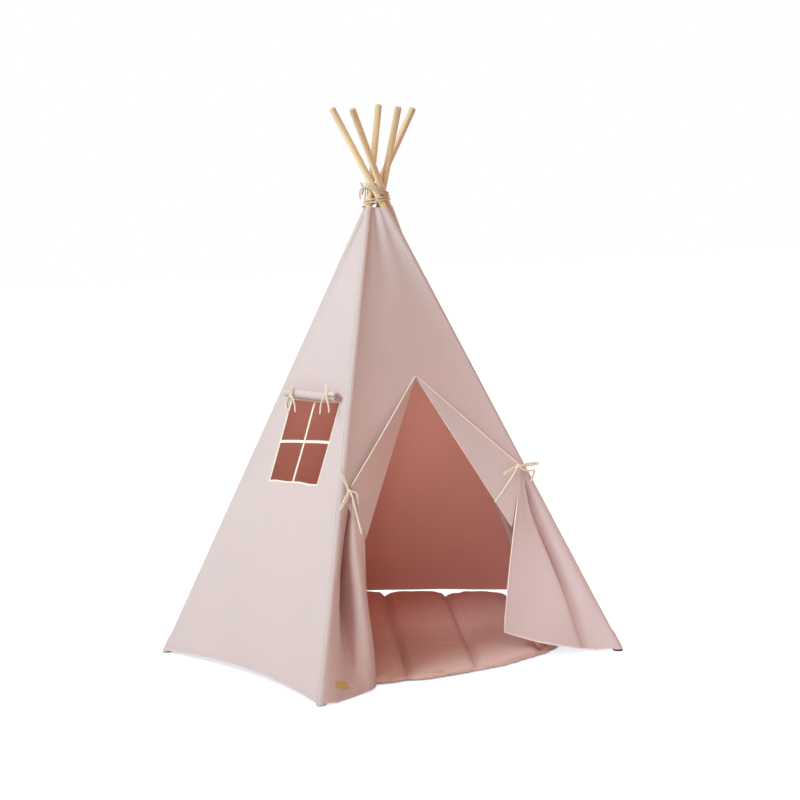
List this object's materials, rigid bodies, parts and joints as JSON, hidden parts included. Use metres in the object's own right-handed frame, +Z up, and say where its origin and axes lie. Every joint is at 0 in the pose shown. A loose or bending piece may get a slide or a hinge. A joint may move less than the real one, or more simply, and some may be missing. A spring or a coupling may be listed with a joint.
{
  "type": "kids teepee",
  "caption": "Play tent of crossed wooden poles with a canvas cover, tied-back door flaps, a window with a rolled cover and a quilted floor mat; lifts off the mat and gathers closed.",
  "frame": {"origin": "centre of the circle that the poles' feet stand on, on the floor, which is also the middle of the mat's flat underside", "axes": "+Z up along the tent's axis; -Y out through the door; +X to the right of someone who faces the door from outside"},
  "size_m": [1.3306, 1.2429, 1.6366],
  "materials": {
    "leather": "bare tan leather",
    "canvas": "cotton canvas, pale pink",
    "cord": "cotton cord",
    "trim": "cream cotton tape",
    "mat_cloth": "padded cotton, stitched channels",
    "rubber": "matt black rubber",
    "pine": "pine, clear satin"
  },
  "bodies": {
    "flap_left_body": {"corner_patch": "leather", "door_flap_left": "canvas", "flap_piping_left": "trim"},
    "front_left_pole_body": {"door_facing_left": "canvas", "door_left_bow": "cord", "door_left_tails": "cord", "door_piping_left": "trim", "foot_front_left": "rubber", "pole_front_left": "pine", "sleeve_front_left": "canvas", "wall_front_half_1": "canvas", "wall_left_half_2": "canvas", "window_right_bow": "cord", "window_right_tails": "cord", "window_roll_half_2": "canvas", "window_tape_half_2": "trim"},
    "front_right_pole_body": {"door_facing_right": "canvas", "door_piping_right": "trim", "door_right_bow": "cord", "door_right_tails": "cord", "foot_front_right": "rubber", "pole_front_right": "pine", "sleeve_front_right": "canvas", "wall_front_half_2": "canvas", "wall_right_half_1": "canvas"},
    "flap_right_body": {"door_flap_right": "canvas", "flap_piping_right": "trim"},
    "floor_mat_body": {"floor_mat": "mat_cloth", "mat_patch": "leather"},
    "back_pole_body": {"foot_back": "rubber", "pole_back": "pine", "sleeve_back": "canvas", "wall_back_left_half_1": "canvas", "wall_back_right_half_2": "canvas"},
    "left_pole_body": {"foot_left": "rubber", "pole_left": "pine", "sleeve_left": "canvas", "wall_back_left_half_2": "canvas", "wall_left_half_1": "canvas", "window_left_bow": "cord", "window_left_tails": "cord", "window_roll_half_1": "canvas", "window_tape_half_1": "trim"},
    "right_pole_body": {"foot_right": "rubber", "pole_right": "pine", "sleeve_right": "canvas", "wall_back_right_half_1": "canvas", "wall_right_half_2": "canvas"},
    "lashing_body": {"lashing_bow": "cord", "lashing_cord": "cord", "lashing_tails": "cord"}
  },
  "joints": [
    {"name": "tent_lift", "type": "slide", "parent": "floor_mat_body", "child": "lashing_body", "axis": [0, 0, 1], "range_m": [0, 0.3422], "deforming": ["corner_patch", "door_facing_left", "door_facing_right", "door_flap_left", "door_flap_right", "door_left_bow", "door_left_tails", "door_piping_left", "door_piping_right", "door_right_bow", "door_right_tails", "flap_piping_left", "flap_piping_right", "wall_back_left_half_1", "wall_back_left_half_2", "wall_back_right_half_1", "wall_back_right_half_2", "wall_front_half_1", "wall_front_half_2", "wall_left_half_1", "wall_left_half_2", "wall_right_half_1", "wall_right_half_2", "window_left_bow", "window_left_tails", "window_right_bow", "window_right_tails", "window_roll_half_1", "window_roll_half_2", "window_tape_half_1", "window_tape_half_2"]},
    {"name": "fold_front_left", "type": "hinge", "parent": "lashing_body", "child": "front_left_pole_body", "pos_m": [-0.0149, 0.01312, 1.375], "axis": [0.7504, -0.661, 0], "range_deg": [0, 17.5]},
    {"name": "fold_front_right", "type": "hinge", "parent": "lashing_body", "child": "front_right_pole_body", "pos_m": [-0.01413, -0.01395, 1.375], "axis": [0.7117, 0.7025, 0], "range_deg": [0, 17.5]},
    {"name": "fold_right", "type": "hinge", "parent": "lashing_body", "child": "right_pole_body", "pos_m": [0.0078, -0.01826, 1.375], "axis": [-0.3927, 0.9196, 0], "range_deg": [0, 17.5]},
    {"name": "fold_back", "type": "hinge", "parent": "lashing_body", "child": "back_pole_body", "pos_m": [0.01985, 0.00056, 1.375], "axis": [-0.9996, -0.0284, 0], "range_deg": [0, 17.5]},
    {"name": "fold_left", "type": "hinge", "parent": "lashing_body", "child": "left_pole_body", "pos_m": [0.00675, 0.01867, 1.375], "axis": [-0.34, -0.9404, 0], "range_deg": [0, 17.5]},
    {"name": "flap_left_swing", "type": "hinge", "parent": "front_left_pole_body", "child": "flap_left_body", "pos_m": [-0.29707, -0.30723, 0.5361], "axis": [-0.2998, -0.3403, -0.8912], "range_deg": [0, 45]},
    {"name": "flap_right_swing", "type": "hinge", "parent": "front_right_pole_body", "child": "flap_right_body", "pos_m": [0.28575, -0.31778, 0.5361], "axis": [-0.3186, 0.3228, 0.8912], "range_deg": [0, 45]}
  ],
  "couplings": [
    {"joint": "fold_front_left", "follows": "tent_lift", "rad_per_m": 0.8925},
    {"joint": "fold_front_right", "follows": "tent_lift", "rad_per_m": 0.8925},
    {"joint": "fold_right", "follows": "tent_lift", "rad_per_m": 0.8925},
    {"joint": "fold_back", "follows": "tent_lift", "rad_per_m": 0.8925},
    {"joint": "fold_left", "follows": "tent_lift", "rad_per_m": 0.8925}
  ]
}
